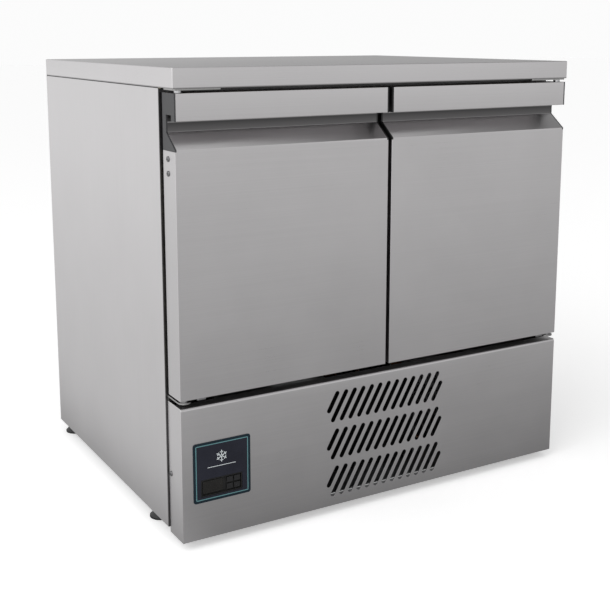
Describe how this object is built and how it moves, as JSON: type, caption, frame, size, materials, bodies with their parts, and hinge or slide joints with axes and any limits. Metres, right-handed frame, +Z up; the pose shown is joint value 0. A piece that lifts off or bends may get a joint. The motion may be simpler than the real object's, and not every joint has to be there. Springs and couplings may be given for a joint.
{
  "type": "undercounter refrigerator",
  "caption": "Low stainless steel two-door refrigerator with recessed handle lips, slatted front vent, control panel and levelling feet.",
  "frame": {"origin": "on the floor, under the centre of the worktop", "axes": "+X to the right along the width, +Y towards the back, +Z up; the doors face -Y"},
  "size_m": [0.88, 0.7, 0.86],
  "materials": {
    "satin_steel": "satin",
    "zinc_sheet": "satin",
    "liner_aluminium": "satin",
    "foam": "matte",
    "board": "matte",
    "pin_steel": "satin",
    "screw_steel": "polished",
    "fascia_blue": "satin",
    "black_plastic": "satin",
    "display_glass": "gloss",
    "grey_plastic": "satin",
    "gasket_rubber": "matte",
    "foot_plastic": "satin",
    "coil_aluminium": "satin",
    "copper": "satin",
    "black_enamel": "gloss",
    "coated_wire": "gloss"
  },
  "bodies": {
    "cabinet": {"worktop": "satin_steel", "worktop_core": "board", "left_side_panel": "satin_steel", "right_side_panel": "satin_steel", "back_panel": "satin_steel", "cabinet_insulation": "foam", "cabinet_liner": "liner_aluminium", "door_surround": "satin_steel", "compartment_ceiling": "zinc_sheet", "centre_mullion": "satin_steel", "base_tray": "zinc_sheet", "top_hinge_plates": "satin_steel", "bottom_hinge_plates": "satin_steel", "hinge_pins": "pin_steel", "front_panel": "satin_steel", "front_panel_screws": "screw_steel", "control_fascia": "fascia_blue", "controller_housing": "black_plastic", "display_window": "display_glass", "condenser_core": "coil_aluminium", "condenser_tube": "copper", "condenser_shroud": "zinc_sheet", "condenser_fan_motor": "black_enamel", "compressor": "black_enamel", "refrigerant_lines": "copper", "filter_drier": "copper", "condensate_tray": "black_plastic", "evaporator_core": "coil_aluminium", "evaporator_cover": "satin_steel", "evaporator_fan_motor": "black_enamel", "shelf_rails": "satin_steel", "left_shelf": "coated_wire", "right_shelf": "coated_wire", "mains_inlet": "black_plastic"},
    "condenser_fan_rotor": {"condenser_fan": "black_plastic"},
    "evaporator_fan_rotor": {"evaporator_fan": "black_plastic"},
    "left_door": {"left_door_skin": "satin_steel", "left_door_insulation": "foam", "left_door_liner": "liner_aluminium", "left_door_gasket": "gasket_rubber", "left_door_end_caps": "grey_plastic", "left_door_bushes": "pin_steel", "left_door_screws": "screw_steel", "left_door_closer_lug": "pin_steel"},
    "right_door": {"right_door_skin": "satin_steel", "right_door_insulation": "foam", "right_door_liner": "liner_aluminium", "right_door_gasket": "gasket_rubber", "right_door_end_caps": "grey_plastic", "right_door_bushes": "pin_steel", "right_door_screws": "screw_steel", "right_door_closer_lug": "pin_steel"},
    "lower_inner_key_body": {"lower_inner_key": "black_plastic"},
    "upper_inner_key_body": {"upper_inner_key": "black_plastic"},
    "lower_outer_key_body": {"lower_outer_key": "black_plastic"},
    "upper_outer_key_body": {"upper_outer_key": "black_plastic"},
    "front_left_foot_body": {"front_left_foot": "foot_plastic"},
    "rear_left_foot_body": {"rear_left_foot": "foot_plastic"},
    "front_right_foot_body": {"front_right_foot": "foot_plastic"},
    "rear_right_foot_body": {"rear_right_foot": "foot_plastic"}
  },
  "joints": [
    {"name": "left_door_hinge", "type": "hinge", "parent": "cabinet", "child": "left_door", "pos_m": [-0.4245, -0.3365, 0.55], "axis": [0, 0, -1], "range_deg": [0, 105], "stiffness_Nm_per_rad": 1.5, "springref_deg": -11.46},
    {"name": "right_door_hinge", "type": "hinge", "parent": "cabinet", "child": "right_door", "pos_m": [0.4245, -0.3365, 0.55], "axis": [0, 0, 1], "range_deg": [0, 105], "stiffness_Nm_per_rad": 1.5, "springref_deg": -11.46},
    {"name": "condenser_fan_spin", "type": "hinge", "parent": "cabinet", "child": "condenser_fan_rotor", "pos_m": [0, -0.2, 0.129], "axis": [0, 1, 0], "continuous": true},
    {"name": "evaporator_fan_spin", "type": "hinge", "parent": "cabinet", "child": "evaporator_fan_rotor", "pos_m": [0, 0.25, 0.674], "axis": [0, 1, 0], "continuous": true},
    {"name": "lower_inner_key_press", "type": "slide", "parent": "cabinet", "child": "lower_inner_key_body", "axis": [0, 1, 0], "range_m": [0, 0.0008], "stiffness_N_per_m": 300},
    {"name": "upper_inner_key_press", "type": "slide", "parent": "cabinet", "child": "upper_inner_key_body", "axis": [0, 1, 0], "range_m": [0, 0.0008], "stiffness_N_per_m": 300},
    {"name": "lower_outer_key_press", "type": "slide", "parent": "cabinet", "child": "lower_outer_key_body", "axis": [0, 1, 0], "range_m": [0, 0.0008], "stiffness_N_per_m": 300},
    {"name": "upper_outer_key_press", "type": "slide", "parent": "cabinet", "child": "upper_outer_key_body", "axis": [0, 1, 0], "range_m": [0, 0.0008], "stiffness_N_per_m": 300},
    {"name": "front_left_foot_screw_out", "type": "slide", "parent": "cabinet", "child": "front_left_foot_body", "axis": [0, 0, -1], "range_m": [0, 0.015]},
    {"name": "rear_left_foot_screw_out", "type": "slide", "parent": "cabinet", "child": "rear_left_foot_body", "axis": [0, 0, -1], "range_m": [0, 0.015]},
    {"name": "front_right_foot_screw_out", "type": "slide", "parent": "cabinet", "child": "front_right_foot_body", "axis": [0, 0, -1], "range_m": [0, 0.015]},
    {"name": "rear_right_foot_screw_out", "type": "slide", "parent": "cabinet", "child": "rear_right_foot_body", "axis": [0, 0, -1], "range_m": [0, 0.015]}
  ]
}
